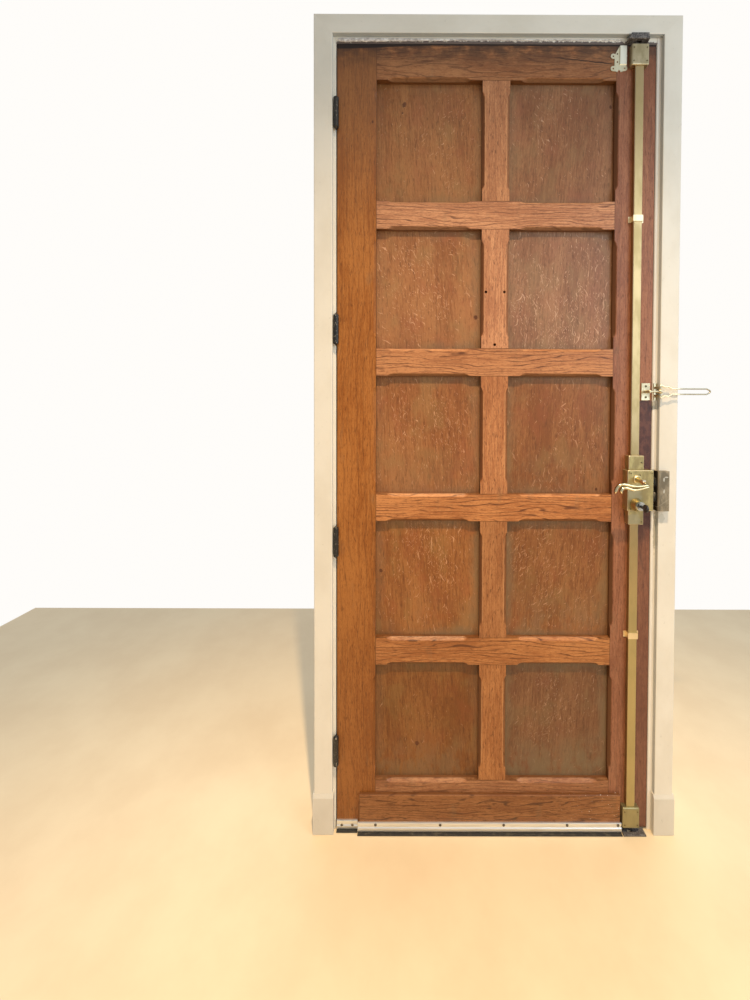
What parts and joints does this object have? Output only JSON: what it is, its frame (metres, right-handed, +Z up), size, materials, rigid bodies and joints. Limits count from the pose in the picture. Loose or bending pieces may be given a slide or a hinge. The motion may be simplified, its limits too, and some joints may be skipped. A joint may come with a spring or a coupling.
{
  "type": "panelled front door with frame",
  "caption": "Inward-opening panelled timber door leaf hung in a painted rebated frame, with a surface multipoint rod lock, lever handle, door guard and draught strips.",
  "frame": {"origin": "on the floor under the middle of the leaf, in the plane of the wall's room face", "axes": "+X along the wall from the hinge side to the lock side, +Y out of the room through the doorway, +Z up"},
  "size_m": [1.1065, 0.17, 2.298],
  "materials": {
    "leaf_uprights": "satin varnished hardwood, grain upright",
    "leaf_rails": "satin varnished hardwood, grain level",
    "leaf_panels": "satin varnished hardwood, grain upright",
    "weather_board": "satin varnished hardwood, grain level",
    "frame_paint": "eggshell paint on timber",
    "architrave_paint": "eggshell paint on timber",
    "cover_brass": "satin lacquered brass",
    "case_brass": "satin lacquered brass, a little tarnished",
    "rose_brass": "satin brass",
    "lever_brass": "polished brass",
    "guard_brass": "polished brass",
    "cylinder_chrome": "satin nickel",
    "lock_steel": "zinc-plated steel",
    "hinge_black": "black, satin",
    "strike_bronze": "dark bronze lacquer, scuffed",
    "keeper_iron": "dark grey",
    "strip_aluminium": "mill finish",
    "blade_rubber": "matte black",
    "key_plastic": "black grip"
  },
  "bodies": {
    "frame": {"hinge_jamb": "frame_paint", "lock_jamb": "frame_paint", "frame_head": "frame_paint", "architrave_hinge_side": "architrave_paint", "architrave_lock_side": "architrave_paint", "architrave_head": "architrave_paint", "plinth_block_hinge_side": "architrave_paint", "plinth_block_lock_side": "architrave_paint", "head_keeper": "keeper_iron", "floor_keeper": "keeper_iron", "strike_box": "strike_bronze", "guard_base": "guard_brass", "hinge_frame_halves": "hinge_black", "hinge_pins": "hinge_black"},
    "leaf": {"hinge_stile": "leaf_uprights", "lock_stile": "leaf_uprights", "top_rail": "leaf_rails", "bottom_rail": "leaf_rails", "cross_rail_1": "leaf_rails", "cross_rail_2": "leaf_rails", "cross_rail_3": "leaf_rails", "cross_rail_4": "leaf_rails", "muntin_1": "leaf_uprights", "muntin_2": "leaf_uprights", "muntin_3": "leaf_uprights", "muntin_4": "leaf_uprights", "muntin_5": "leaf_uprights", "panel_1_left": "leaf_panels", "panel_1_right": "leaf_panels", "panel_2_left": "leaf_panels", "panel_2_right": "leaf_panels", "panel_3_left": "leaf_panels", "panel_3_right": "leaf_panels", "panel_4_left": "leaf_panels", "panel_4_right": "leaf_panels", "panel_5_left": "leaf_panels", "panel_5_right": "leaf_panels", "weather_board": "weather_board", "draught_strips": "strip_aluminium", "draught_blades": "blade_rubber", "hinge_leaf_halves": "hinge_black", "lock_case": "case_brass", "rod_cover_upper": "cover_brass", "rod_cover_lower": "cover_brass", "rod_collars": "case_brass", "rod_end_boxes": "case_brass", "rod_clips": "cover_brass", "cylinder_body": "cylinder_chrome", "cylinder_roses": "rose_brass", "guard_stud": "guard_brass", "top_catch": "guard_brass"},
    "lever": {"lever_handle": "lever_brass", "lever_spindle": "lock_steel"},
    "latch": {"latch_bolt": "lock_steel"},
    "dead_bolt": {"dead_bolt": "lock_steel"},
    "upper_rod": {"upper_rod": "lock_steel"},
    "lower_rod": {"lower_rod": "lock_steel"},
    "key_and_plug": {"cylinder_plug": "cylinder_chrome", "key": "key_plastic"},
    "hoop": {"guard_hoop": "guard_brass"}
  },
  "joints": [
    {"name": "leaf_swing", "type": "hinge", "parent": "frame", "child": "leaf", "pos_m": [-0.4465, -0.008, 1.1325], "axis": [0, 0, -1], "range_deg": [0, 105]},
    {"name": "lever_turn", "type": "hinge", "parent": "leaf", "child": "lever", "pos_m": [0.392, -0.05, 1.016], "axis": [0, -1, 0], "range_deg": [0, 35], "stiffness_Nm_per_rad": 1.2, "springref_deg": -20.05},
    {"name": "latch_slide", "type": "slide", "parent": "leaf", "child": "latch", "axis": [1, 0, 0], "range_m": [0, 0.012]},
    {"name": "upper_rod_slide", "type": "slide", "parent": "leaf", "child": "upper_rod", "axis": [0, 0, 1], "range_m": [0, 0.022]},
    {"name": "lower_rod_slide", "type": "slide", "parent": "leaf", "child": "lower_rod", "axis": [0, 0, -1], "range_m": [0, 0.022]},
    {"name": "dead_bolt_slide", "type": "slide", "parent": "leaf", "child": "dead_bolt", "axis": [1, 0, 0], "range_m": [0, 0.018]},
    {"name": "key_turn", "type": "hinge", "parent": "leaf", "child": "key_and_plug", "pos_m": [0.39, -0.03, 0.946], "axis": [0, 1, 0], "range_deg": [0, 360]},
    {"name": "guard_swing", "type": "hinge", "parent": "frame", "child": "hoop", "pos_m": [0.455, -0.022, 1.26], "axis": [0, 0, -1], "range_deg": [0, 180]}
  ],
  "couplings": [
    {"joint": "lower_rod_slide", "follows": "upper_rod_slide", "ratio": 1},
    {"joint": "dead_bolt_slide", "follows": "upper_rod_slide", "ratio": 0.81818},
    {"joint": "key_turn", "follows": "upper_rod_slide", "rad_per_m": 285.6}
  ]
}
